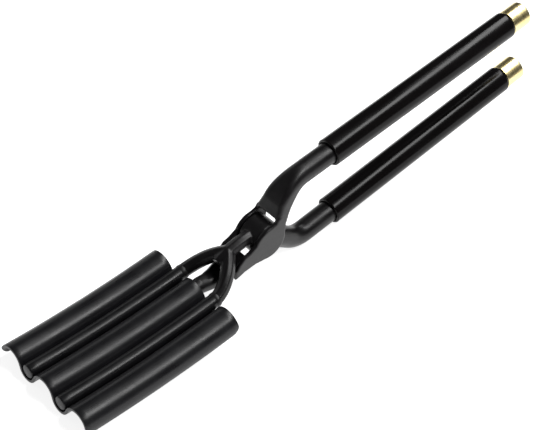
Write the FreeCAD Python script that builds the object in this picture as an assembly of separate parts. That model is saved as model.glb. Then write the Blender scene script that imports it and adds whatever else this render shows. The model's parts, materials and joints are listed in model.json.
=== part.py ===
import FreeCAD, Part
import math
import os
from FreeCAD import Placement, Rotation, Vector

# Marcel waver: a stove-heated hair iron. Two waving rods on a fork close into the valleys of a
# three-ridge plate, and both handles carry a grip tube that turns freely on its rod.
#
# It is modelled in the plate's own frame, in millimetres: x runs from the plate's tip to the handles,
# z is the plate's upward normal with z = 0 on the valleys' undersides at the plate's ends, and y = 0 is
# the plane of symmetry. At the end every piece is tipped until the iron lies on a bench, and the origin
# is put on the bench under the middle of the whole iron.

# --- plate ---
plate_length = 83.5
sheet = 1.4
ridge_pitch = 21.9
ridge_centre_height = 3.1
wall_deg = 23.0
flank_drop_deg = 15.0
bow_sagitta = 1.6
corner_radius = 3.5

# --- waving rods ---
rod_radius = 3.3
rod_gap = 0.5
rod_tip_x = 0.2
rod_overhang = 1.8
rod_chamfer = 0.5
weld_ring_height = 0.4
weld_ring_length = 2.6

# --- fork ---
tine_reach = 16.2
crotch_rise = 9.0
tine_lead = 4.8
tine_radius = 3.2
neck_reach = 19.5
neck_slope_deg = 16.0
neck_radius = 3.15

# --- pivot and box joint ---
pivot_drop = 1.4
cheek_radius = 9.0
cheek_thickness = 2.1
slot_width = 10.6
barrel_setback = 0.6
barrel_side_gap = 0.2
web_gap = 3.8
rivet_radius = 2.5
rivet_running_gap = 0.05
rivet_head_depth = 1.1

# --- stem under the plate ---
stem_radius = 3.7
stem_lift = 0.15
stem_front_x = 22.0
stem_weld_radius = 1.7
stem_weld_length = 14.0
stem_weld_inset = 4.0

# --- handles: each mouth is where its grip begins, measured from the pivot ---
handle_radius = 5.2
upper_slope_deg = 5.3
upper_mouth_reach = 40.7
upper_mouth_rise = 24.3
upper_lead = 17.3
upper_bend_radius = 18.0
upper_drop_deg = 58.0
foot_length = 5.5
lower_slope_deg = 7.1
lower_mouth_reach = 43.8
lower_mouth_drop = 14.7
lower_lead = 15.9
lower_bend_radius = 14.0

# --- revolving grips and end caps ---
grip_length = 118.0
grip_lip = 1.17
grip_bore_gap = 0.3
grip_end_gap = 0.3
grip_mouth_depth = 3.0
grip_edge = 0.5
grip_tail_edge = 1.2
journal_step = 0.5
cap_setback = 0.5
cap_length = 10.9
cap_edge = 0.7
spigot_step = 1.2
spigot_depth = 8.0

# --- derived sizes ---
half_pitch = ridge_pitch / 2
valley_inner_radius = rod_radius + rod_gap
rod_height = sheet + valley_inner_radius
ridge_sink = rod_height - ridge_centre_height
wall_tilt = math.radians(wall_deg) - math.atan2(ridge_sink, half_pitch)
ridge_radius = math.hypot(half_pitch, ridge_sink) * math.cos(wall_tilt) - valley_inner_radius
stem_height = ridge_centre_height + ridge_radius - sheet - stem_radius - stem_lift
bow_radius = (plate_length ** 2 / 4 + bow_sagitta ** 2) / (2 * bow_sagitta)
bow_centre = Vector(plate_length / 2, 0, bow_radius - bow_sagitta)
bow_axis = Vector(0, -1, 0)
rod_root_x = plate_length + rod_overhang
crotch = Vector(rod_root_x + tine_reach, 0, rod_height + crotch_rise)
pivot = crotch + Vector(neck_reach, 0, -pivot_drop)
yoke_width = slot_width + 2 * cheek_thickness
barrel_radius = cheek_radius - barrel_setback
barrel_half = slot_width / 2 - barrel_side_gap
web_radius = barrel_radius + web_gap
upper_mouth = pivot + Vector(upper_mouth_reach, 0, upper_mouth_rise)
lower_mouth = pivot + Vector(lower_mouth_reach, 0, -lower_mouth_drop)
grip_radius = handle_radius + grip_bore_gap + grip_lip
journal_radius = handle_radius - journal_step
spigot_radius = journal_radius - spigot_step
cap_radius = grip_radius - cap_setback
Y = Vector(0, 1, 0)

# Outlines of the box joint seen from the side, as (x, z) from the pivot in units of the cheek's radius.
web_outline = [(-0.11, 0.94), (0.36, 1.07), (0.5, 1.29), (1.08, 0.93), (0.99, 0.22), (0, 0)]
ear_outline = [(-0.91, 0.4), (-1.38, 0.16), (-1.71, 0.07), (-2.0, -0.18), (-2.27, -0.6),
               (-2.27, -1.09), (-1.67, -0.88), (-1.0, -0.84), (-0.28, -0.96), (0, 0)]
slot_front = 2.45
slot_floor_end = 1.33
slot_floor_depths = (0.47, 0.54)


def slope(degrees):
    """Unit vector in the plane y = 0, rising towards +x at this angle."""
    angle = math.radians(degrees)
    return Vector(math.cos(angle), 0, math.sin(angle))


def normal(degrees):
    """Unit vector in the plane y = 0, square to slope(degrees) and pointing up."""
    return slope(degrees + 90)


def cylinder(radius, start, end):
    return Part.makeCylinder(radius, (end - start).Length, start, end - start)


def fuse(shapes):
    return shapes[0].multiFuse(shapes[1:]).removeSplitter()


def side_plate(points, width):
    """Prism of this outline, given as (x, z) pairs, centred on y = 0."""
    outline = Part.makePolygon([Vector(x, -width / 2, z) for x, z in points + points[:1]])
    return Part.Face(outline).extrude(Vector(0, width, 0))


# --- the bow shared by the plate, the rods and the stem ---
def bow_angle(x):
    return math.degrees(math.asin((x - plate_length / 2) / bow_radius))


def bowed(section, start_x, end_x):
    """Sweeps a section, drawn at the plate's middle, along the bow."""
    face = section.copy()
    face.rotate(bow_centre, bow_axis, bow_angle(start_x))
    return face.revolve(bow_centre, bow_axis, bow_angle(end_x) - bow_angle(start_x))


def bow_point(x, y, height):
    """Point of the bow at this x, this far above the valleys' undersides."""
    radius = bow_radius - height
    angle = math.radians(bow_angle(x))
    return Vector(bow_centre.x + radius * math.sin(angle), y, bow_centre.z - radius * math.cos(angle))


def bow_bar(y, height, radius, start_x, end_x):
    """Round bar that follows the bow."""
    start, middle, end = [bow_point(x, y, height) for x in (start_x, (start_x + end_x) / 2, end_x)]
    path = Part.Wire(Part.Arc(start, middle, end).toShape())
    ring = Part.Wire(Part.makeCircle(radius, start, slope(bow_angle(start_x))))
    return path.makePipeShell([ring], True, False)


# --- plate ---
def section_arc(centre_y, centre_z, radius, start, end):
    angles = (start, (start + end) / 2, end)
    x = plate_length / 2
    return Part.Arc(*[Vector(x, centre_y + radius * math.cos(a), centre_z - bow_sagitta + radius * math.sin(a))
                      for a in angles]).toShape()


def plate_surface(offset):
    """Arcs of the sheet's surface at this offset from its middle, from the +y flank to the -y flank."""
    ridge = ridge_radius - sheet / 2 + offset
    valley = valley_inner_radius + sheet / 2 - offset
    wall = math.radians(wall_deg)
    flank = -math.radians(flank_drop_deg)
    arcs = []
    for index in (1, 0, -1):
        start = flank if index == 1 else wall
        end = math.pi - (flank if index == -1 else wall)
        arcs.append(section_arc(index * ridge_pitch, ridge_centre_height, ridge, start, end))
        if index > -1:
            centre_y = index * ridge_pitch - half_pitch
            arcs.append(section_arc(centre_y, rod_height, valley, -wall, wall - math.pi))
    return arcs


def arc_end(arc, first):
    return arc.valueAt(arc.FirstParameter if first else arc.LastParameter)


def joined(arcs):
    """The arcs with the straight walls between them."""
    edges = []
    for arc, following in zip(arcs, arcs[1:] + [None]):
        edges.append(arc)
        if following is not None:
            edges.append(Part.makeLine(arc_end(arc, False), arc_end(following, True)))
    return edges


def make_plate():
    top = plate_surface(sheet / 2)
    under = plate_surface(-sheet / 2)
    edges = joined(top) + joined(under)
    edges.append(Part.makeLine(arc_end(top[0], True), arc_end(under[0], True)))
    edges.append(Part.makeLine(arc_end(top[-1], False), arc_end(under[-1], False)))
    section = Part.Face(Part.Wire(Part.__sortEdges__(edges)))
    plate = bowed(section, 0, plate_length)
    return plate.cut(Part.Compound([corner_cut(x, toward) for x, toward in ((0, 1), (plate_length, -1))]))


def corner_cut(end_x, toward):
    """What rounding takes off the two flank corners at this end, toward being +1 or -1 along x."""
    edge_height = ridge_centre_height - (ridge_radius - sheet / 2) * math.sin(math.radians(flank_drop_deg))
    along = slope(bow_angle(end_x)) * toward
    up = normal(bow_angle(end_x))
    low = bow_point(end_x, 0, edge_height)
    start, end = low + up * corner_radius, low + along * corner_radius
    centre = start + along * corner_radius
    middle = centre - (along + up) * (corner_radius / math.sqrt(2))
    outside = low - along - up * 2
    edges = [Part.Arc(start, middle, end).toShape(),
             Part.makeLine(end, end - up * 2),
             Part.makeLine(end - up * 2, outside),
             Part.makeLine(outside, start - along),
             Part.makeLine(start - along, start)]
    inner = ridge_pitch + ridge_radius / 2
    cutters = []
    for side in (-1, 1):
        face = Part.Face(Part.Wire(edges))
        face.translate(Y * (side * inner))
        cutters.append(face.extrude(Y * (side * ridge_radius)))
    return Part.Compound(cutters)


# --- waving rods ---
def make_rod(side):
    rod = bow_bar(side * half_pitch, rod_height, rod_radius, rod_tip_x, rod_root_x)
    tip = [edge for edge in rod.Edges if edge.BoundBox.XMax < rod_tip_x + 1]
    return rod.makeChamfer(rod_chamfer, tip)


def make_rod_weld(side, rod, fork_arm):
    """Raised weld ring round the butt joint of rod and tine."""
    centre = bow_point(rod_root_x, side * half_pitch, rod_height)
    along = slope(bow_angle(rod_root_x))
    up = normal(bow_angle(rod_root_x))
    root = up * (tine_radius * 0.8)
    start, end = [centre + along * (sign * weld_ring_length / 2) for sign in (-1, 1)]
    crown = centre + up * (rod_radius + weld_ring_height)
    outline = Part.Wire([Part.Arc(start + up * rod_radius, crown, end + up * rod_radius).toShape(),
                         Part.makeLine(end + up * rod_radius, end + root),
                         Part.makeLine(end + root, start + root),
                         Part.makeLine(start + root, start + up * rod_radius)])
    return Part.Face(outline).revolve(centre, along, 360).cut(rod).cut(fork_arm)


# --- handle rods, grips and caps ---
def handle_end(mouth, degrees):
    """Journal that the grip turns on, and the spigot that the cap is pressed on."""
    along = slope(degrees)
    shoulder = mouth + along * grip_mouth_depth
    journal_end = mouth + along * (grip_length + grip_end_gap)
    journal = cylinder(journal_radius, shoulder, journal_end)
    spigot = cylinder(spigot_radius, journal_end, journal_end + along * spigot_depth)
    return [journal, spigot]


def make_grip(mouth, degrees):
    along = slope(degrees)
    tail = mouth + along * grip_length
    grip = cylinder(grip_radius, mouth, tail)
    for end, edge_radius in ((mouth, grip_edge), (tail, grip_tail_edge)):
        rim = [edge for edge in grip.Edges if (edge.CenterOfMass - end).Length < 0.01]
        grip = grip.makeFillet(edge_radius, rim)
    bore = cylinder(journal_radius + grip_bore_gap, mouth - along, tail + along)
    shoulder = mouth + along * (grip_mouth_depth + grip_end_gap)
    counterbore = cylinder(handle_radius + grip_bore_gap, mouth - along, shoulder)
    return grip.cut(bore.fuse(counterbore))


def make_cap(mouth, degrees):
    along = slope(degrees)
    face = mouth + along * (grip_length + grip_end_gap)
    end = face + along * cap_length
    cap = cylinder(cap_radius, face, end)
    rim = [edge for edge in cap.Edges if (edge.CenterOfMass - end).Length < 0.01]
    cap = cap.makeFillet(cap_edge, rim)
    return cap.cut(cylinder(spigot_radius, face - along, face + along * spigot_depth))


def turn_centre(bend_start, degrees, radius):
    """Centre of a bend that leaves slope(degrees) at its start, above it for a positive radius."""
    return bend_start + normal(degrees) * radius


# --- upper arm: handle, box joint and stem, one forging ---
def d_section(centre, degrees, half_width, front, back, corner, back_corner):
    """Section square to slope(degrees): flat in front, rounder behind, with the same eight edges each time."""
    up = normal(degrees)

    def corner_arc(y, height, radius, start):
        angles = [math.radians(start + step) for step in (0, 45, 90)]
        points = [centre + Y * (y + radius * math.cos(a)) + up * (height + radius * math.sin(a)) for a in angles]
        return Part.Arc(*points).toShape()

    arcs = [corner_arc(half_width - corner, front - corner, corner, 0),
            corner_arc(corner - half_width, front - corner, corner, 90),
            corner_arc(back_corner - half_width, back_corner - back, back_corner, 180),
            corner_arc(half_width - back_corner, back_corner - back, back_corner, 270)]
    edges = []
    for arc, following in zip(arcs, arcs[1:] + arcs[:1]):
        edges.append(arc)
        edges.append(Part.makeLine(arc_end(arc, False), arc_end(following, True)))
    return Part.Wire(edges)


def make_gooseneck(bend_start):
    """The upper arm from the round handle rod, widening and flattening down to the box joint."""
    centre = turn_centre(bend_start, upper_slope_deg, -upper_bend_radius)
    full = handle_radius
    wide = yoke_width / 2
    sections = []
    for share, half_width, front, back, corner, back_corner in (
            (0.0, full, full, full, 0.94 * full, 0.94 * full),
            (0.4, full, 0.94 * full, 0.98 * full, 0.81 * full, 0.94 * full),
            (0.75, (full + wide) / 2 - 0.6, 0.83 * full, 0.94 * full, 0.54 * full, 0.88 * full),
            (1.0, wide - 1.2, 0.73 * full, 0.85 * full, 0.35 * full, 0.6 * full)):
        degrees = upper_slope_deg + share * (upper_drop_deg - upper_slope_deg)
        station = centre + normal(degrees) * upper_bend_radius
        sections.append(d_section(station, degrees, half_width, front, back, corner, back_corner))
    foot = station - slope(upper_drop_deg) * foot_length
    sections.append(d_section(foot, upper_drop_deg, wide - 0.05, 0.64 * full, 0.73 * full, 0.2 * full, 0.3 * full))
    return Part.makeLoft(sections, True, False)


def from_pivot(outline):
    """Points (x, z) of an outline that is given from the pivot in units of the cheek's radius."""
    return [(pivot.x + x * cheek_radius, pivot.z + z * cheek_radius) for x, z in outline]


def make_yoke():
    """Both cheeks, the web above the barrel and the ears in front of it, before the slot is cut."""
    disc = cylinder(cheek_radius, pivot - Y * (yoke_width / 2), pivot + Y * (yoke_width / 2))
    plates = [side_plate(from_pivot(outline), yoke_width) for outline in (web_outline, ear_outline)]
    return [disc] + plates


def make_slot():
    """Room for the barrel and the neck: open above and below, with a ramped floor towards the stem."""
    front_depth, end_depth = slot_floor_depths
    channel = side_plate(from_pivot([(-slot_front, -front_depth), (-slot_floor_end, -end_depth),
                                     (-slot_floor_end, -3), (3, -3), (3, 4), (-slot_front, 4)]), slot_width)
    web_body = side_plate(from_pivot([(-1.2, 2), (3, 4), (3, 0.6), (0, 0)]), slot_width + 2)
    bored = cylinder(web_radius, pivot - Y * slot_width, pivot + Y * slot_width)
    return channel.cut(web_body.cut(bored))


def make_stem():
    """Bar that runs under the middle ridge, and the flare that widens it back to the cheeks."""
    bar_end = rod_root_x
    bar = bow_bar(0, stem_height, stem_radius, stem_front_x, bar_end + 2.0)
    nose = [edge for edge in bar.Edges if edge.BoundBox.XMax < stem_front_x + 1]
    bar = bar.makeFillet(stem_radius * 0.6, nose)
    start = bow_point(bar_end, 0, stem_height)
    run = pivot.x - slot_floor_end * cheek_radius - start.x
    rise = pivot.z - 0.58 * cheek_radius - start.z
    spread = yoke_width / 2 - stem_radius - 0.05
    sections = []
    for along, up, widening, thickness in ((0, 0, 0, 1), (0.28, -0.44, 0.25, 0.89), (0.52, -0.11, 0.6, 0.81),
                                           (0.79, 0.71, 0.93, 0.76), (1, 1, 1, 0.7)):
        centre = start + Vector(along * run, 0, up * rise)
        half_width = stem_radius + widening * spread
        half_height = stem_radius * thickness
        corner = 0.92 * half_height
        sections.append(d_section(centre, 0, half_width, half_height, half_height, corner, corner))
    return bar, Part.makeLoft(sections, True, False)


def plan_trim():
    """What the yoke keeps within, seen from above: narrow at the stem, full width from the ears on."""
    wide = yoke_width / 2
    narrow_x = pivot.x - 2.55 * cheek_radius
    full_x = pivot.x - 1.6 * cheek_radius
    points = [(narrow_x - 20, wide - 1.3), (narrow_x, wide - 1.3), (full_x, wide), (full_x + 60, wide)]
    outline = [Vector(x, y, -60) for x, y in points] + [Vector(x, -y, -60) for x, y in reversed(points)]
    return Part.Face(Part.makePolygon(outline + outline[:1])).extrude(Vector(0, 0, 160))


def rivet_shape():
    """Rivet with countersunk heads, flush with both cheeks."""
    half = yoke_width / 2
    shank = cylinder(rivet_radius, pivot - Y * half, pivot + Y * half)
    head_radius = rivet_radius + rivet_head_depth
    heads = [Part.makeCone(head_radius, rivet_radius, rivet_head_depth, pivot + Y * (side * half), Y * -side)
             for side in (-1, 1)]
    return fuse([shank] + heads)


def make_yoke_arm(stem_parts):
    along = slope(upper_slope_deg)
    bend_start = upper_mouth - along * upper_lead
    rod = cylinder(handle_radius, bend_start, upper_mouth + along * grip_mouth_depth)
    joint = fuse(make_yoke()).common(plan_trim())
    body = fuse([joint, make_gooseneck(bend_start)] + list(stem_parts)).cut(make_slot())
    body = fuse([body, rod] + handle_end(upper_mouth, upper_slope_deg))
    return body.cut(rivet_shape())


def make_stem_welds(stem_bar, plate):
    """Fillet beads on both sides of the stem, at both ends of the plate, filling up to the ridge."""
    beads = []
    for start in (stem_front_x + stem_weld_inset, plate_length - stem_weld_inset - stem_weld_length):
        for side in (-1, 1):
            bead = bow_bar(side * 0.9 * stem_radius, stem_height + 0.5 * stem_radius, stem_weld_radius,
                           start, start + stem_weld_length)
            bead = bead.cut(stem_bar).cut(plate)
            beads.append(max(bead.Solids, key=lambda solid: solid.Volume))
    return Part.Compound(beads)


# --- lower arm: handle, barrel, neck and fork, one forging ---
def make_tine(side):
    """Round bar from the rod's root, curving inwards and up through the crotch into the neck."""
    along = slope(bow_angle(rod_root_x))
    root = bow_point(rod_root_x, side * half_pitch, rod_height)
    curve = Part.BezierCurve()
    curve.setPoles([root,
                    root + along * tine_lead,
                    crotch + Vector(-0.3 * tine_reach, side * 0.48 * half_pitch, -0.22 * crotch_rise),
                    crotch + slope(neck_slope_deg) * 0.6 * neck_radius])
    ring = Part.Wire(Part.makeCircle(tine_radius, root, along))
    return Part.Wire(curve.toShape()).makePipeShell([ring], True, False)


def lower_bend():
    """Centre of the lower arm's bend, where the bend starts, where it ends, and the slope of the link there."""
    bend_start = lower_mouth - slope(lower_slope_deg) * lower_lead
    centre = turn_centre(bend_start, lower_slope_deg, lower_bend_radius)
    reach = centre - pivot
    link_angle = math.atan2(reach.z, reach.x) - math.asin(lower_bend_radius / reach.Length)
    link_deg = math.degrees(link_angle)
    return centre, bend_start, centre - normal(link_deg) * lower_bend_radius, link_deg


def make_lower_rod():
    """Handle rod from inside the grip's mouth, round its bend, then straight to the barrel."""
    centre, bend_start, bend_end, link_deg = lower_bend()
    inside = lower_mouth + slope(lower_slope_deg) * grip_mouth_depth
    middle = centre - normal((lower_slope_deg + link_deg) / 2) * lower_bend_radius
    path = Part.Wire([Part.makeLine(inside, bend_start), Part.Arc(bend_start, middle, bend_end).toShape()])
    ring = Part.Wire(Part.makeCircle(handle_radius, inside, slope(lower_slope_deg)))
    bent = path.makePipeShell([ring], True, True)
    between_cheeks = Part.makeBox(8 * cheek_radius, 2 * barrel_half, 8 * cheek_radius,
                                  pivot - Vector(4 * cheek_radius, barrel_half, 4 * cheek_radius))
    return [bent, cylinder(handle_radius, bend_end, pivot).common(between_cheeks)]


def make_neck():
    rise = slope(neck_slope_deg)
    stations = [crotch - rise * 1.5, crotch + rise * 0.55 * neck_reach, pivot + Vector(-3, 0, 2.5)]
    bars = [cylinder(neck_radius, a, b) for a, b in zip(stations, stations[1:])]
    return bars + [Part.makeSphere(neck_radius, stations[0]), Part.makeSphere(neck_radius, stations[1])]


def make_fork_arm():
    barrel = cylinder(barrel_radius, pivot - Y * barrel_half, pivot + Y * barrel_half)
    bore = cylinder(rivet_radius + rivet_running_gap, pivot - Y * slot_width, pivot + Y * slot_width)
    fork = fuse(make_neck()).fuse(make_tine(1)).fuse(make_tine(-1))
    return fuse([fork, barrel] + make_lower_rod() + handle_end(lower_mouth, lower_slope_deg)).cut(bore)


# --- assembly, bench placing and export ---
stem_parts = make_stem()
plate = make_plate()
fork_arm = make_fork_arm()
far_rod, near_rod = make_rod(1), make_rod(-1)
pieces = {
    "wave_plate": plate,
    "yoke_arm": make_yoke_arm(stem_parts),
    "stem_welds": make_stem_welds(stem_parts[0], plate),
    "pivot_rivet": rivet_shape(),
    "upper_end_cap": make_cap(upper_mouth, upper_slope_deg),
    "upper_grip": make_grip(upper_mouth, upper_slope_deg),
    "fork_arm": fork_arm,
    "far_rod": far_rod,
    "near_rod": near_rod,
    "far_rod_weld": make_rod_weld(1, far_rod, fork_arm),
    "near_rod_weld": make_rod_weld(-1, near_rod, fork_arm),
    "lower_end_cap": make_cap(lower_mouth, lower_slope_deg),
    "lower_grip": make_grip(lower_mouth, lower_slope_deg),
}

# The iron lies on the plate's front edge and on the underside of the lower arm's bend.
bend_centre = lower_bend()[0]
bend_outside = lower_bend_radius + handle_radius
bench_deg = math.degrees(math.asin(bend_outside / math.hypot(bend_centre.x, bend_centre.z))
                         - math.atan2(bend_centre.z, bend_centre.x))
tip_over = Placement(Vector(0, 0, 0), Rotation(Y, -bench_deg))
for shape in pieces.values():
    shape.Placement = tip_over.multiply(shape.Placement)
whole = Part.Compound(list(pieces.values())).optimalBoundingBox()
origin = Vector((whole.XMin + whole.XMax) / 2, (whole.YMin + whole.YMax) / 2, whole.ZMin)

os.makedirs("parts", exist_ok=True)
for name, shape in pieces.items():
    shape.translate(-origin)
    shape.exportStep(f"parts/{name}.step")
    print(name, "valid" if shape.isValid() else "NOT VALID", len(shape.Solids), round(shape.Volume, 1))


def placed(point):
    moved = tip_over.multVec(point) - origin
    return tuple(round(value, 4) for value in moved)


print("bench tilt", round(bench_deg, 4))
print("pivot", placed(pivot))
print("upper mouth", placed(upper_mouth), "slope", round(upper_slope_deg + bench_deg, 4))
print("lower mouth", placed(lower_mouth), "slope", round(lower_slope_deg + bench_deg, 4))
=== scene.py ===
import json
import math

import bmesh
import bpy
from mathutils import Matrix, Vector


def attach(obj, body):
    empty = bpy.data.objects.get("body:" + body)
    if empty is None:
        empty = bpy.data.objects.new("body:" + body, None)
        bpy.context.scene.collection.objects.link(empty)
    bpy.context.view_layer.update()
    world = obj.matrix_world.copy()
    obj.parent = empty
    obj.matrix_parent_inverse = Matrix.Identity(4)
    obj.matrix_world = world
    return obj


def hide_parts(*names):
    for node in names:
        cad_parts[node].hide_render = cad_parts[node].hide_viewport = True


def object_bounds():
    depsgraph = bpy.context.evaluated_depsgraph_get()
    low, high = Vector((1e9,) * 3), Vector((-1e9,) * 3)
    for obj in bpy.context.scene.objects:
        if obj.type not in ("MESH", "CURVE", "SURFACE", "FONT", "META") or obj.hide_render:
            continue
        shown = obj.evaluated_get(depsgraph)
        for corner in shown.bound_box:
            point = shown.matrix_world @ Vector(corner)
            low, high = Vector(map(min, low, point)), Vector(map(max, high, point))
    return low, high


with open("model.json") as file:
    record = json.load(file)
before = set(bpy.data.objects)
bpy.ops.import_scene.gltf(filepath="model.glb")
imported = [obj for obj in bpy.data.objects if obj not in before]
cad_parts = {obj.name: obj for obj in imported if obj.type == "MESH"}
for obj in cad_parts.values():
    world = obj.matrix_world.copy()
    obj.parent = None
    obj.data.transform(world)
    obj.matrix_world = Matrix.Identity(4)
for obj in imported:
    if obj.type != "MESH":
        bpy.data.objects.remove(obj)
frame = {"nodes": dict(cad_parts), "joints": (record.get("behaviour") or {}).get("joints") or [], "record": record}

cad_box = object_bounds()

MM = 0.001

# --- places, all taken from the frame ---
joints = {joint["name"]: joint for joint in frame["joints"]}
pivot = Vector(joints["jaw_pivot"]["pos_m"])
upper_axis = Vector(joints["upper_grip_spin"]["axis"])
lower_axis = Vector(joints["lower_grip_spin"]["axis"])
upper_mouth = Vector(joints["upper_grip_spin"]["pos_m"])
lower_mouth = Vector(joints["lower_grip_spin"]["pos_m"])

# Arms, plate and rods are modelled level, with the rivet at the origin, and then laid on the bench.
UPPER_SLOPE_DEG = 5.3
LOWER_SLOPE_DEG = 7.1
tilt = math.atan2(upper_axis.z, upper_axis.x) - math.radians(UPPER_SLOPE_DEG)
on_bench = Matrix.Translation(pivot) @ Matrix.Rotation(-tilt, 4, "Y")
level = on_bench.inverted()

# --- sizes of the real piece, in millimetres, shared by several pieces ---
PLATE_TIP = -121.0
PLATE_END = -37.5
VALLEY_FLOOR = -12.8
HALF_PITCH = 10.95
ROD_R = 3.3
ROD_HEIGHT = 5.2
BOW_DEPTH = 1.6
HANDLE_R = 5.2
JOURNAL_R = 4.7
SPIGOT_R = 3.5
GRIP_LENGTH = 118.0
CAP_LENGTH = 10.9
CHEEK_IN = 5.3
CHEEK_OUT = 7.4


def mm(*values):
    return Vector(values) * MM


def direction(degrees):
    """Unit vector in the plane y = 0 that rises towards +x at this angle."""
    angle = math.radians(degrees)
    return Vector((math.cos(angle), 0, math.sin(angle)))


# --- working in edit mode ---
def drop_selection():
    if bpy.context.object and bpy.context.object.mode != "OBJECT":
        bpy.ops.object.mode_set(mode="OBJECT")
    bpy.ops.object.select_all(action="DESELECT")


def named(name):
    """Calls the object being worked on by this name."""
    piece = bpy.context.object
    piece.name = name
    piece.data.name = name
    return piece


def select_vertices(selected):
    """Selects, in edit mode, exactly the vertices that pass this test."""
    piece = bpy.context.object
    mesh = bmesh.from_edit_mesh(piece.data)
    bpy.ops.mesh.select_all(action="DESELECT")
    mesh.verts.index_update()
    for vertex in mesh.verts:
        vertex.select = selected(vertex)
    mesh.select_flush(True)
    mesh.select_flush(False)
    bmesh.update_edit_mesh(piece.data)


def select_from(first, last=None):
    """Selects the vertices with these numbers."""
    select_vertices(lambda vertex: vertex.index >= first and (last is None or vertex.index < last))


def count():
    return len(bmesh.from_edit_mesh(bpy.context.object.data).verts)


def facing(way):
    """Turn that points a new ring's axis this way and keeps one of its vertices on top."""
    way = way.normalized()
    side = Vector((0, 0, 1)).cross(way).normalized()
    top = way.cross(side)
    return Matrix((top, side, way)).transposed().to_euler()


def round_ring(centre, way, radius, corners=32):
    bpy.ops.mesh.primitive_circle_add(vertices=corners, radius=radius, fill_type="NOTHING", location=centre,
                                      rotation=facing(way))


def flat_ring(centre, way, half_width, front, back, corner):
    """Rounded rectangle square to this way: a round ring pulled apart, front above centre and back below it."""
    start = count()
    turn = facing(way)
    top = turn.to_matrix().col[0].copy()
    across = turn.to_matrix().col[1].copy()
    bpy.ops.mesh.primitive_circle_add(vertices=32, radius=corner, fill_type="NOTHING", location=centre,
                                      rotation=turn)
    for axis, reach in ((top, front), (-top, back), (across, half_width), (-across, half_width)):
        select_vertices(lambda v: v.index >= start and (v.co - centre).dot(axis) > corner * 0.01)
        bpy.ops.transform.translate(value=axis * (reach - corner))


def begin(name):
    """An empty mesh, open in edit mode."""
    drop_selection()
    bpy.ops.mesh.primitive_plane_add(size=MM, location=(0, 0, 0))
    piece = named(name)
    bpy.ops.object.mode_set(mode="EDIT")
    bpy.ops.mesh.select_all(action="SELECT")
    bpy.ops.mesh.delete(type="VERT")
    return piece


def skin(rings):
    """Draws the rings one after another, bridges each to the one before and closes both ends."""
    first = count()
    before = None
    for ring in rings:
        start = count()
        ring()
        if before is not None:
            select_from(before)
            bpy.ops.mesh.bridge_edge_loops()
        before = start
    size = count() - before
    for begin_at in (first, before):
        select_from(begin_at, begin_at + size)
        bpy.ops.mesh.edge_face_add()


def finish_mesh(smooth_deg=40):
    """Closes seams, points every face outwards and shades what is not a sharp edge smooth."""
    bpy.ops.mesh.select_all(action="SELECT")
    bpy.ops.mesh.remove_doubles(threshold=0.002 * MM)
    bpy.ops.mesh.normals_make_consistent(inside=False)
    bpy.ops.object.mode_set(mode="OBJECT")
    bpy.ops.object.shade_smooth_by_angle(angle=math.radians(smooth_deg))


def apply_modifier(kind, **values):
    piece = bpy.context.object
    modifier = piece.modifiers.new(kind.lower(), kind)
    for key, value in values.items():
        setattr(modifier, key, value)
    bpy.ops.object.modifier_apply(modifier=modifier.name)


def lay_down(piece):
    """Takes a piece that was modelled level to its place on the bench."""
    drop_selection()
    piece.select_set(True)
    bpy.context.view_layer.objects.active = piece
    piece.matrix_world = on_bench
    bpy.ops.object.transform_apply(location=True, rotation=True, scale=True)


# --- turned pieces: grips and caps ---
def turn_profile(start, axis, profile, steps=72):
    """Draws a profile of (distance from start, radius) points in mm and spins it once round the axis."""
    places = [start + axis * (along * MM) + Vector((0, radius * MM, 0)) for along, radius in profile]
    bpy.ops.mesh.primitive_plane_add(size=MM, location=places[0])
    bpy.ops.mesh.merge(type="CENTER")
    for before, after in zip(places, places[1:]):
        bpy.ops.mesh.extrude_vertices_move(TRANSFORM_OT_translate={"value": after - before})
    bpy.ops.mesh.select_all(action="SELECT")
    bpy.ops.mesh.spin(steps=steps, angle=2 * math.pi, center=start, axis=axis)


def turned(name, start, axis, profile):
    """A turned piece. Its profile closes on itself or starts and ends on the axis."""
    piece = begin(name)
    turn_profile(start, axis, profile)
    finish_mesh(smooth_deg=50)
    return piece


def arc_points(centre_along, centre_radius, corner, start, end, steps=5):
    """Points of a rounded edge, for a profile."""
    points = []
    for step in range(steps + 1):
        angle = math.radians(start + (end - start) * step / steps)
        points.append((centre_along + corner * math.cos(angle), centre_radius + corner * math.sin(angle)))
    return points


def make_grip(name, body, mouth, axis):
    outside = 6.67
    lip = 0.5
    tail = 1.2
    bore = JOURNAL_R + 0.3
    mouth_bore = HANDLE_R + 0.3
    step = 3.3
    profile = [(step, mouth_bore), (0.25, mouth_bore), (0, mouth_bore + 0.2)]
    profile += arc_points(lip, outside - lip, lip, 180, 90)
    profile += [(along, outside) for along in (0.7, 30, 60, 90, GRIP_LENGTH - tail - 0.2)]
    profile += arc_points(GRIP_LENGTH - tail, outside - tail, tail, 90, 0, 8)
    profile += [(GRIP_LENGTH, bore + 0.15), (GRIP_LENGTH - 0.15, bore), (step + 0.1, bore), (step, bore + 0.1),
                (step, mouth_bore)]
    grip = turned(name, mouth, axis, profile)
    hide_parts(name.replace("_tube", ""))
    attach(grip, body)
    return grip


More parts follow.
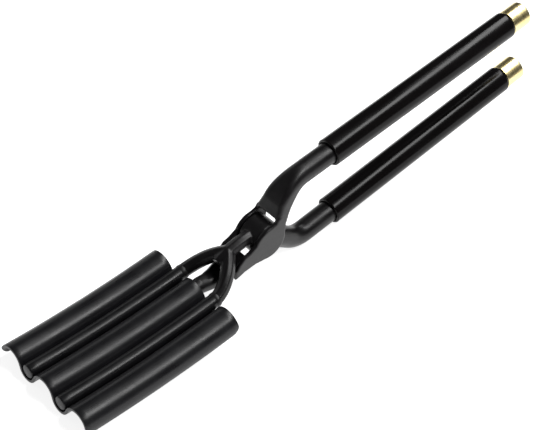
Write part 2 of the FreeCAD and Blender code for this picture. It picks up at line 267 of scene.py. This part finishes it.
def make_cap(name, body, mouth, axis):
    """Brass cap: plain barrel, rounded rim, a shallow dish turned in its end and a bored socket for the spigot."""
    face = GRIP_LENGTH + 0.3
    end = face + CAP_LENGTH
    radius = 6.17
    rim = 0.7
    socket = face + 8.4
    profile = [(socket, 0), (socket, SPIGOT_R), (face, SPIGOT_R), (face, radius - 0.2), (face + 0.2, radius),
               (face + 0.35, radius), (face + 5, radius), (end - rim - 0.2, radius)]
    profile += arc_points(end - rim, radius - rim, rim, 90, 0, 7)
    profile += [(end, radius - 1.3), (end - 0.18, radius - 1.6), (end - 0.25, 2.6), (end - 0.25, 0)]
    cap = turned(name, mouth, axis, profile)
    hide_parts(name.replace("_shell", ""))
    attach(cap, body)
    return cap


# --- the bow that plate, rods and stem follow ---
BOW_R = ((PLATE_END - PLATE_TIP) ** 2 / 4 + BOW_DEPTH ** 2) / (2 * BOW_DEPTH)
BOW_MIDDLE = (PLATE_TIP + PLATE_END) / 2


def on_bow(x, y, height):
    """Point in mm of the bow at this x, this far above the valleys' undersides, and the way on from there."""
    angle = math.asin((x - BOW_MIDDLE) / BOW_R)
    radius = BOW_R - height
    centre_z = VALLEY_FLOOR + BOW_R - BOW_DEPTH
    point = Vector((BOW_MIDDLE + radius * math.sin(angle), y, centre_z - radius * math.cos(angle)))
    return point, Vector((math.cos(angle), 0, math.sin(angle)))


# --- plate: one strip drawn across the ridges by spinning, given its thickness, then bowed ---
RIDGE_CENTRE = VALLEY_FLOOR + 3.1
VALLEY_CENTRE = VALLEY_FLOOR + ROD_HEIGHT
RIDGE_MID_R = 6.4
VALLEY_MID_R = 4.5
WALL_DEG = 23.0
FLANK_DEG = 15.0
SHEET = 1.4
PLATE_SLICES = 28
RIDGE_STEPS = 28
VALLEY_STEPS = 22


def spin_on(centre_y, centre_z, degrees, steps):
    """Carries the selected strip edge round this centre line; positive degrees go from +y over the top to -y."""
    bpy.ops.mesh.spin(steps=steps, angle=math.radians(abs(degrees)), center=mm(0, centre_y, centre_z),
                      axis=(-1 if degrees > 0 else 1, 0, 0))


def round_plate_corner(end_x, inward, side):
    """Trims one flank corner round with a fan of straight cuts."""
    corner = 4.2
    edge = RIDGE_CENTRE - RIDGE_MID_R * math.sin(math.radians(FLANK_DEG))
    middle = Vector((end_x + inward * corner, 0, edge + corner))
    for degrees in (9, 27, 45, 63, 81):
        angle = math.radians(degrees)
        outwards = Vector((-inward * math.cos(angle), 0, -math.sin(angle)))
        select_vertices(lambda v: v.co.y * side > 2 * HALF_PITCH * MM)
        bpy.ops.mesh.bisect(plane_co=(middle + outwards * corner) * MM, plane_no=outwards, clear_outer=True)


def bow_plate(length):
    """Swings every slice of the level plate round the bow's centre, to its own place along the bow."""
    mesh = bmesh.from_edit_mesh(bpy.context.object.data)
    mesh.verts.index_update()
    slices = [set() for _ in range(PLATE_SLICES + 1)]
    for vertex in mesh.verts:
        slices[round((vertex.co.x / MM - PLATE_TIP) * PLATE_SLICES / length)].add(vertex.index)
    for number, members in enumerate(slices):
        x = PLATE_TIP + length * number / PLATE_SLICES
        select_vertices(lambda v: v.index in members)
        bpy.ops.transform.translate(value=mm(BOW_MIDDLE - x, 0, -BOW_DEPTH))
        bpy.ops.transform.rotate(value=math.asin((x - BOW_MIDDLE) / BOW_R), orient_axis="Y",
                                 center_override=mm(BOW_MIDDLE, 0, VALLEY_FLOOR + BOW_R - BOW_DEPTH))


def make_plate():
    piece = begin("wave_plate_sheet")
    flank = math.radians(FLANK_DEG)
    start = mm((PLATE_TIP + PLATE_END) / 2, 2 * HALF_PITCH + RIDGE_MID_R * math.cos(flank),
               RIDGE_CENTRE - RIDGE_MID_R * math.sin(flank))
    length = PLATE_END - PLATE_TIP
    bpy.ops.mesh.primitive_plane_add(size=length * MM, location=start + mm(0, length / 2, 0))
    select_vertices(lambda v: v.co.y > start.y + MM)
    bpy.ops.mesh.delete(type="VERT")
    bpy.ops.mesh.select_all(action="SELECT")
    valley_turn = 180 - 2 * WALL_DEG
    outer_turn = 180 - WALL_DEG + FLANK_DEG
    rise = VALLEY_CENTRE - RIDGE_CENTRE
    reach = RIDGE_MID_R + VALLEY_MID_R
    wall = math.radians(WALL_DEG)
    run = mm(0, -(HALF_PITCH - reach * math.cos(wall)), rise - reach * math.sin(wall))
    for index in (1, 0, -1):
        spin_on(index * 2 * HALF_PITCH, RIDGE_CENTRE, valley_turn if index == 0 else outer_turn, RIDGE_STEPS)
        if index > -1:
            bpy.ops.mesh.extrude_edges_move(TRANSFORM_OT_translate={"value": run})
            spin_on((2 * index - 1) * HALF_PITCH, VALLEY_CENTRE, -valley_turn, VALLEY_STEPS)
            bpy.ops.mesh.extrude_edges_move(TRANSFORM_OT_translate={"value": Vector((0, run.y, -run.z))})
    bpy.ops.mesh.select_all(action="SELECT")
    bpy.ops.mesh.remove_doubles(threshold=0.01 * MM)
    for end_x, inward in ((PLATE_TIP, 1), (PLATE_END, -1)):
        for side in (-1, 1):
            round_plate_corner(end_x, inward, side)
    for cut in range(1, PLATE_SLICES):
        bpy.ops.mesh.select_all(action="SELECT")
        bpy.ops.mesh.bisect(plane_co=mm(PLATE_TIP + length * cut / PLATE_SLICES, 0, 0), plane_no=(1, 0, 0))
    bow_plate(length)
    bpy.ops.mesh.select_all(action="SELECT")
    bpy.ops.mesh.normals_make_consistent(inside=False)
    bpy.ops.object.mode_set(mode="OBJECT")
    apply_modifier("SOLIDIFY", thickness=SHEET * MM, offset=0, use_even_offset=True)
    apply_modifier("BEVEL", width=0.3 * MM, segments=2, limit_method="ANGLE", angle_limit=math.radians(50))
    bpy.ops.object.shade_smooth_by_angle(angle=math.radians(40))
    lay_down(piece)
    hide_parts("wave_plate")
    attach(piece, "yoke_half")
    return piece


# --- rods ---
ROD_ROOT = PLATE_END + 1.8


def rod_ring(x, side, radius):
    """One ring of a rod, square to the bow."""
    centre, way = on_bow(x, side * HALF_PITCH, ROD_HEIGHT)
    round_ring(centre * MM, way, radius * MM, 48)


def make_rod(name, side):
    """Drawn bar along the bow, its tip faced off square with a broken edge."""
    piece = begin(name + "_bar")
    tip = PLATE_TIP + 0.2
    broken_edge = 0.7
    lengths = 24
    rings = [(tip, 2.7), (tip + 0.12, 2.95), (tip + 0.35, 3.18), (tip + broken_edge, ROD_R)]
    rings += [(tip + broken_edge + (ROD_ROOT - tip - broken_edge) * step / lengths, ROD_R)
              for step in range(1, lengths + 1)]
    skin([lambda x=x, radius=radius: rod_ring(x, side, radius) for x, radius in rings])
    finish_mesh(smooth_deg=35)
    lay_down(piece)
    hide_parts(name)
    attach(piece, "fork_half")
    return piece


def make_rod_weld(name, side):
    """Weld bead laid round the butt joint, lumpy as the torch left it."""
    piece = begin(name + "_bead")
    centre, way = on_bow(ROD_ROOT, side * HALF_PITCH, ROD_HEIGHT)
    profile = [(-1.35, 3.1), (-1.3, 3.29), (-0.8, 3.4), (-0.2, 3.5), (0.4, 3.5), (0.9, 3.42), (1.3, 3.28),
               (1.35, 3.0), (0.4, 2.6), (-0.4, 2.6), (-1.35, 3.1)]
    turn_profile(centre * MM, way, profile, 48)
    finish_mesh(smooth_deg=60)
    lumps = bpy.data.textures.new(name + "_lumps", "CLOUDS")
    lumps.noise_scale = 2.2 * MM
    apply_modifier("DISPLACE", texture=lumps, texture_coords="LOCAL", strength=0.25 * MM, mid_level=0.5)
    lay_down(piece)
    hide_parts(name)
    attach(piece, "fork_half")
    return piece


# --- forgings: rough shapes drawn out one by one, then melted into one skin ---
FORGING_GRAIN = 0.3
MELT_ROUNDS = 18
HANDLE_LAP = 6
STEM_HEIGHT = 5.05


def melt():
    """Joins overlapping closed shapes into one skin and softens the corners, as drop forging leaves them."""
    apply_modifier("REMESH", mode="VOXEL", voxel_size=FORGING_GRAIN * MM, use_smooth_shade=True)
    apply_modifier("SMOOTH", factor=0.5, iterations=MELT_ROUNDS)


def block(outline, low_y, high_y):
    """Draws an outline point by point in the plane of the arms, fills it and gives it its width."""
    made = begin("block")
    first = outline[0]
    bpy.ops.mesh.primitive_plane_add(size=MM, location=mm(first[0], low_y, first[1]))
    bpy.ops.mesh.merge(type="CENTER")
    for before, after in zip(outline, outline[1:]):
        step = mm(after[0] - before[0], 0, after[1] - before[1])
        bpy.ops.mesh.extrude_vertices_move(TRANSFORM_OT_translate={"value": step})
    bpy.ops.mesh.select_all(action="SELECT")
    bpy.ops.mesh.edge_face_add()
    bpy.ops.mesh.extrude_region_move(TRANSFORM_OT_translate={"value": mm(0, high_y - low_y, 0)})
    finish_mesh()
    return made


def drum(radius, low_y, high_y):
    """Round block across the arms, centred on the rivet."""
    made = begin("drum")
    skin([lambda y=y: round_ring(mm(0, y, 0), Vector((0, 1, 0)), radius * MM, 96) for y in (low_y, high_y)])
    finish_mesh()
    return made


def drawn(rings):
    """A closed shape of its own, from rings."""
    made = begin("drawn")
    skin(rings)
    finish_mesh()
    return made


def joined(name, shapes):
    drop_selection()
    for shape in shapes:
        shape.select_set(True)
    bpy.context.view_layer.objects.active = shapes[0]
    bpy.ops.object.join()
    return named(name)


def curve_point(poles, share):
    rest = 1 - share
    weights = (rest ** 3, 3 * rest ** 2 * share, 3 * rest * share ** 2, share ** 3)
    return sum((pole * weight for pole, weight in zip(poles, weights)), Vector())


def along_curve(poles, steps):
    """Points of a smooth curve and the way on at each of them."""
    points = [curve_point(poles, step / steps) for step in range(steps + 1)]
    ways = [points[min(i + 1, steps)] - points[max(i - 1, 0)] for i in range(steps + 1)]
    ways[0] = poles[1] - poles[0]
    return list(zip(points, ways))


def add_handle(piece, mouth, axis):
    """Adds the turned end of a handle to a forging that lies in place: journal for the grip, spigot for the cap."""
    profile = [(-14, 0), (-14, HANDLE_R), (2.7, HANDLE_R), (3, HANDLE_R - 0.3), (3, JOURNAL_R),
               (GRIP_LENGTH, JOURNAL_R), (GRIP_LENGTH + 0.3, JOURNAL_R - 0.2), (GRIP_LENGTH + 0.3, SPIGOT_R),
               (GRIP_LENGTH + 8, SPIGOT_R - 0.1), (GRIP_LENGTH + 8.2, SPIGOT_R - 0.4), (GRIP_LENGTH + 8.2, 0)]
    shaft = turned(piece.name + "_shaft", mouth, axis, profile)
    drop_selection()
    shaft.select_set(True)
    piece.select_set(True)
    bpy.context.view_layer.objects.active = piece
    bpy.ops.object.join()
    bpy.ops.object.shade_smooth_by_angle(angle=math.radians(35))


def local_mouth(mouth):
    """A grip's mouth in mm, in the level frame."""
    return (level @ mouth) / MM


def make_fork():
    """Lower forging: two tines, the neck, the barrel and the elbow up to the handle."""
    crotch = Vector((-21.7, 0, 0.8))
    tine_radius = 3.42
    shapes = []
    for side in (-1, 1):
        root, way = on_bow(ROD_ROOT, side * HALF_PITCH, ROD_HEIGHT)
        poles = [root - way * 0.6, root + way * 5, crotch + Vector((-2.2, side * 7.2, -1.6)),
                 crotch + Vector((2.6, 0, 0.9))]
        shapes.append(drawn([lambda p=p, w=w: round_ring(p * MM, w, tine_radius * MM, 8)
                             for p, w in along_curve(poles, 14)]))
    neck = [crotch + Vector((-3.8, 0, -0.8)), crotch + Vector((6, 0, 1.8)), crotch + Vector((12, 0, 3.2)),
            Vector((-2, 0, 2.4))]
    neck_radii = [2.4, 3.0] + [3.4] * 9
    shapes.append(drawn([lambda p=p, w=w, r=r: round_ring(p * MM, w, r * MM, 8)
                         for (p, w), r in zip(along_curve(neck, 10), neck_radii)]))
    barrel_radius = 8.4
    barrel_half_width = 5.1
    shapes.append(drum(barrel_radius, -barrel_half_width, barrel_half_width))
    mouth = local_mouth(lower_mouth)
    elbow_radius = 14
    elbow_steps = 12
    elbow_start = mouth - direction(LOWER_SLOPE_DEG) * 15.9
    elbow_centre = elbow_start + direction(LOWER_SLOPE_DEG + 90) * elbow_radius
    link_deg = math.degrees(math.atan2(elbow_centre.z, elbow_centre.x)
                            - math.asin(elbow_radius / elbow_centre.length))
    stations = [(mouth - direction(LOWER_SLOPE_DEG) * HANDLE_LAP, LOWER_SLOPE_DEG, HANDLE_R)]
    for step in range(elbow_steps + 1):
        degrees = LOWER_SLOPE_DEG + (link_deg - LOWER_SLOPE_DEG) * step / elbow_steps
        stations.append((elbow_centre - direction(degrees + 90) * elbow_radius, degrees, HANDLE_R))
    elbow_end = stations[-1][0]
    stations += [(elbow_end * 0.6, link_deg, 5.15), (elbow_end * 0.4, link_deg, 5.1), (Vector(), link_deg, 5.0)]
    shapes.append(drawn([lambda p=p, d=d, r=r: round_ring(p * MM, -direction(d), r * MM, 48)
                         for p, d, r in stations]))
    piece = joined("fork_arm_forging", shapes)
    melt()
    lay_down(piece)
    add_handle(piece, lower_mouth, lower_axis)
    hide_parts("fork_arm")
    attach(piece, "fork_half")
    return piece


def smoothstep(value):
    return value * value * (3 - 2 * value)


def stem_ring(x, radius):
    """One ring of the stem under the plate's middle ridge, square to the bow."""
    centre, way = on_bow(x, 0, STEM_HEIGHT)
    round_ring(centre * MM, -way, radius * MM, 48)


def make_yoke():
    """Upper forging: two cheeks, the floor and bridge between them, the gooseneck and the stem."""
    shapes = []
    # Two cheeks, each a round eye with an ear that runs forward and a shoulder that runs up to the arm.
    cheek_radius = 9.0
    ear = [(-6.2, 6.2), (-8.4, 3.5), (-12.4, 1.4), (-15.4, 0.6), (-18.0, -1.7), (-20.4, -5.4), (-20.4, -9.6),
           (-15.0, -7.9), (-9.0, -7.6), (-2.5, -8.6), (0, 0)]
    shoulder = [(-2.5, 8.4), (3.2, 9.6), (4.6, 11.6), (6.6, 11.0), (9.2, 7.2), (8.95, 1.0), (0, 0)]
    for low, high in ((-CHEEK_OUT, -CHEEK_IN), (CHEEK_IN, CHEEK_OUT)):
        shapes += [drum(cheek_radius, low, high), block(ear, low, high), block(shoulder, low, high)]
    # Floor between the ears, and the bridge above the barrel.
    slot_floor = [(-20.4, -4.3), (-10.4, -5.1), (-10.4, -8.0), (-20.4, -9.6)]
    bridge = [(4.0, 11.0), (7.0, 13.0), (10.6, 9.6), (9.9, 6.5)]
    shapes.append(block(slot_floor, -CHEEK_OUT + 0.6, CHEEK_OUT - 0.6))
    shapes.append(block(bridge, -CHEEK_OUT + 0.4, CHEEK_OUT - 0.4))
    # Gooseneck: flat in front, rounded behind, drawn down from the round handle. Each section is its place,
    # its slope, and its half width, reach in front, reach behind and corner.
    mouth = local_mouth(upper_mouth)
    drop_deg = 58.0
    neck_radius = 18
    neck_steps = 14
    neck_start = mouth - direction(UPPER_SLOPE_DEG) * 17.3
    neck_centre = neck_start - direction(UPPER_SLOPE_DEG + 90) * neck_radius
    sections = [(mouth - direction(UPPER_SLOPE_DEG) * HANDLE_LAP, UPPER_SLOPE_DEG, (HANDLE_R,) * 4)]
    for step in range(neck_steps + 1):
        share = step / neck_steps
        flattening = smoothstep(share)
        degrees = UPPER_SLOPE_DEG + share * (drop_deg - UPPER_SLOPE_DEG)
        sections.append((neck_centre + direction(degrees + 90) * neck_radius, degrees,
                         (HANDLE_R + 1.3 * flattening, HANDLE_R - 1.4 * flattening,
                          HANDLE_R - 0.8 * flattening, HANDLE_R - 2.9 * flattening)))
    foot = neck_centre + direction(drop_deg + 90) * neck_radius - direction(drop_deg) * 5.7
    sections.append((foot, drop_deg, (7.35, 3.4, 3.9, 1.8)))
    shapes.append(drawn([lambda p=p, d=d, z=z: flat_ring(p * MM, -direction(d), *[value * MM for value in z])
                         for p, d, z in sections]))
    # Stem: flares out of the floor between the ears, then runs round under the middle ridge.
    flare = [(-11.0, -5.9, 7.2, 2.5), (-15.0, -6.1, 7.1, 2.75), (-18.5, -6.9, 6.6, 2.9), (-23.0, -7.9, 5.8, 3.0),
             (-27.0, -8.6, 4.9, 3.2), (-31.0, -8.6, 4.2, 3.45), (-35.7, -7.65, 3.7, 3.7)]
    shapes.append(drawn([lambda x=x, z=z, w=w, h=h: flat_ring(mm(x, 0, z), Vector((-1, 0, 0)), w * MM, h * MM,
                                                              h * MM, 0.92 * min(w, h) * MM)
                         for x, z, w, h in flare]))
    stem = [(-34.5, 3.7), (-60, 3.7), (-80, 3.7), (-95, 3.7), (-97.5, 3.5), (-98.6, 2.9), (-99, 1.9)]
    shapes.append(drawn([lambda x=x, radius=radius: stem_ring(x, radius) for x, radius in stem]))
    piece = joined("yoke_arm_forging", shapes)
    melt()
    lay_down(piece)
    add_handle(piece, upper_mouth, upper_axis)
    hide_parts("yoke_arm")
    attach(piece, "yoke_half")
    return piece


# --- materials ---
def node(tree, kind, **values):
    made = tree.nodes.new(kind)
    for key, value in values.items():
        setattr(made, key, value)
    return made


def noise(tree, coordinates, scale, detail=3.0, roughness=0.5, stretch=(1, 1, 1)):
    mapping = node(tree, "ShaderNodeMapping")
    mapping.inputs["Scale"].default_value = stretch
    tree.links.new(coordinates, mapping.inputs["Vector"])
    pattern = node(tree, "ShaderNodeTexNoise")
    pattern.inputs["Scale"].default_value = scale
    pattern.inputs["Detail"].default_value = detail
    pattern.inputs["Roughness"].default_value = roughness
    tree.links.new(mapping.outputs["Vector"], pattern.inputs["Vector"])
    return pattern.outputs["Fac"]


def between(tree, value, low, high, start=0.3, end=0.7):
    """Turns a pattern into numbers between low and high."""
    spread = node(tree, "ShaderNodeMapRange")
    for socket, number in (("From Min", start), ("From Max", end), ("To Min", low), ("To Max", high)):
        spread.inputs[socket].default_value = number
    tree.links.new(value, spread.inputs["Value"])
    return spread.outputs["Result"]


def tinted(tree, value, dark, light, start=0.3, end=0.7):
    ramp = node(tree, "ShaderNodeValToRGB")
    ramp.color_ramp.elements[0].position = start
    ramp.color_ramp.elements[0].color = (*dark, 1)
    ramp.color_ramp.elements[1].position = end
    ramp.color_ramp.elements[1].color = (*light, 1)
    tree.links.new(value, ramp.inputs["Fac"])
    return ramp.outputs["Color"]


def bumped(tree, shader, layers):
    """Stacks bump layers, each (pattern, height in metres)."""
    normal = None
    for pattern, height in layers:
        bump = node(tree, "ShaderNodeBump")
        bump.inputs["Distance"].default_value = height
        tree.links.new(pattern, bump.inputs["Height"])
        if normal is not None:
            tree.links.new(normal, bump.inputs["Normal"])
        normal = bump.outputs["Normal"]
    tree.links.new(normal, shader.inputs["Normal"])


def new_material(name):
    material = bpy.data.materials.new(name)
    material.use_nodes = True
    tree = material.node_tree
    shader = tree.nodes["Principled BSDF"]
    coordinates = node(tree, "ShaderNodeTexCoord").outputs["Object"]
    return material, tree, shader, coordinates


def blackened_steel(name, dark, light, low, high, streak_height, mottle_height):
    """Satin black finish baked on steel: cloudy tone, drawing marks along the piece and a faint grain."""
    material, tree, shader, coordinates = new_material(name)
    clouds = noise(tree, coordinates, 90, detail=4)
    streaks = noise(tree, coordinates, 60, detail=5, roughness=0.65, stretch=(0.35, 9, 9))
    grain = noise(tree, coordinates, 2600, detail=2)
    tree.links.new(tinted(tree, clouds, dark, light), shader.inputs["Base Color"])
    mixed = node(tree, "ShaderNodeMath", operation="ADD")
    tree.links.new(between(tree, clouds, low, high), mixed.inputs[0])
    tree.links.new(between(tree, streaks, -0.05, 0.05), mixed.inputs[1])
    tree.links.new(mixed.outputs[0], shader.inputs["Roughness"])
    shader.inputs["Specular IOR Level"].default_value = 0.32
    bumped(tree, shader, [(clouds, mottle_height), (streaks, streak_height), (grain, 0.0000025)])
    return material


def gloss_plastic():
    material, tree, shader, coordinates = new_material("black gloss grip")
    ripple = noise(tree, coordinates, 45, detail=1, stretch=(0.3, 1, 1))
    wipe = noise(tree, coordinates, 160, detail=4, roughness=0.6, stretch=(0.2, 1, 1))
    tone = tinted(tree, wipe, (0.0042, 0.0036, 0.0036), (0.0062, 0.0054, 0.0056))
    tree.links.new(tone, shader.inputs["Base Color"])
    tree.links.new(between(tree, wipe, 0.12, 0.2), shader.inputs["Roughness"])
    shader.inputs["IOR"].default_value = 1.45
    shader.inputs["Specular IOR Level"].default_value = 0.15
    bumped(tree, shader, [(ripple, 0.00004), (wipe, 0.000002)])
    return material


def polished_brass():
    material, tree, shader, coordinates = new_material("polished brass")
    turning = noise(tree, coordinates, 700, detail=3, stretch=(4, 0.6, 0.6))
    tarnish = noise(tree, coordinates, 240, detail=4)
    tree.links.new(tinted(tree, tarnish, (0.80, 0.66, 0.30), (0.88, 0.76, 0.42)), shader.inputs["Base Color"])
    tree.links.new(between(tree, turning, 0.24, 0.34), shader.inputs["Roughness"])
    shader.inputs["Metallic"].default_value = 1
    bumped(tree, shader, [(turning, 0.000001)])
    return material


def give(piece, material):
    piece.data.materials.clear()
    piece.data.materials.append(material)


sheet_black = blackened_steel("blackened sheet", dark=(0.0085, 0.0085, 0.0098), light=(0.013, 0.013, 0.0148),
                              low=0.27, high=0.35, streak_height=0.000008, mottle_height=0.00003)
forging_black = blackened_steel("blackened forging", dark=(0.006, 0.0055, 0.006), light=(0.0095, 0.0088, 0.0095),
                                low=0.28, high=0.4, streak_height=0.000006, mottle_height=0.00008)
rod_black = blackened_steel("blackened rod", dark=(0.0065, 0.0065, 0.0073), light=(0.011, 0.011, 0.0123),
                            low=0.26, high=0.36, streak_height=0.000008, mottle_height=0.00002)
weld_black = blackened_steel("blackened weld", dark=(0.008, 0.0075, 0.008), light=(0.014, 0.013, 0.014),
                             low=0.35, high=0.5, streak_height=0.000004, mottle_height=0.00025)
grip_black = gloss_plastic()
brass = polished_brass()

SLOT_MATERIALS = {
    "blackened_sheet": sheet_black,
    "blackened_forging": forging_black,
    "blackened_rod": rod_black,
    "weld_metal": weld_black,
    "grip_plastic": grip_black,
    "polished_brass": brass,
}


def repaint_cad_nodes():
    """Every carried-over node takes the finish of its slot, through its object's own material slots."""
    for row in frame["record"]["subparts"]:
        carried = frame["nodes"][row["node"]]
        for slot in carried.material_slots:
            slot.material = SLOT_MATERIALS[row["material_slot"]]


repaint_cad_nodes()

for name, body, mouth, axis in (("upper", "yoke_half", upper_mouth, upper_axis),
                                ("lower", "fork_half", lower_mouth, lower_axis)):
    give(make_grip(name + "_grip_tube", name + "_sleeve", mouth, axis), grip_black)
    give(make_cap(name + "_end_cap_shell", body, mouth, axis), brass)

give(make_plate(), sheet_black)
for name, side in (("far_rod", 1), ("near_rod", -1)):
    give(make_rod(name, side), rod_black)
    give(make_rod_weld(name + "_weld", side), weld_black)
give(make_fork(), forging_black)
give(make_yoke(), forging_black)


# --- studio ---
FLOOR_GAP = 0.0002


def make_floor():
    """White table just under the piece, glowing a little like a light table."""
    drop_selection()
    bpy.ops.mesh.primitive_plane_add(size=40, location=(0, 0, cad_box[0][2] - FLOOR_GAP))
    floor = named("floor")
    material, _, shader, _ = new_material("white table")
    shader.inputs["Base Color"].default_value = (0.93, 0.93, 0.93, 1)
    shader.inputs["Roughness"].default_value = 0.9
    shader.inputs["Specular IOR Level"].default_value = 0.0
    shader.inputs["Emission Color"].default_value = (1, 1, 1, 1)
    shader.inputs["Emission Strength"].default_value = 0.85
    give(floor, material)


def area_light(name, place, aim, size, power):
    light = bpy.data.lights.new(name, "AREA")
    light.shape = "RECTANGLE"
    light.size, light.size_y = size
    light.energy = power
    made = bpy.data.objects.new(name, light)
    bpy.context.scene.collection.objects.link(made)
    made.location = place
    made.rotation_euler = (aim - place).to_track_quat("-Z", "Y").to_euler()


def make_camera():
    """Looks down on the plate's side from the tip's end, at 46 degrees."""
    azimuth, elevation, roll = (math.radians(value) for value in (-44.464, 45.752, 2.292))
    back = Vector((math.sin(azimuth) * math.cos(elevation), -math.cos(azimuth) * math.cos(elevation),
                   math.sin(elevation)))
    right = Vector((math.cos(azimuth), math.sin(azimuth), 0))
    up = back.cross(right)
    turned_right = right * math.cos(roll) + up * math.sin(roll)
    turned_up = up * math.cos(roll) - right * math.sin(roll)
    aim = mm(19.193, 15.641, -12.8)
    distance = 0.73202
    place = aim + back * distance
    matrix = Matrix((turned_right, turned_up, back)).transposed().to_4x4()
    matrix.translation = place
    camera = bpy.data.cameras.new("camera")
    camera.sensor_width = 36
    camera.lens = 107.43
    made = bpy.data.objects.new("camera", camera)
    bpy.context.scene.collection.objects.link(made)
    made.matrix_world = on_bench @ matrix
    bpy.context.scene.camera = made


def make_studio():
    make_floor()
    middle = Vector((0, 0, 0.02))
    area_light("overhead", Vector((0.41, -0.19, 0.86)), Vector((-0.02, 0, 0.02)), (1.2, 0.15), 9)
    area_light("fill", Vector((-0.2, 1.2, 0.5)), middle, (1.6, 0.5), 2)
    world = bpy.data.worlds.new("studio")
    world.use_nodes = True
    world.node_tree.nodes["Background"].inputs["Color"].default_value = (1, 1, 1, 1)
    world.node_tree.nodes["Background"].inputs["Strength"].default_value = 0.06
    bpy.context.scene.world = world
    bpy.context.scene.view_settings.view_transform = "Standard"


make_camera()
make_studio()

drop_selection()
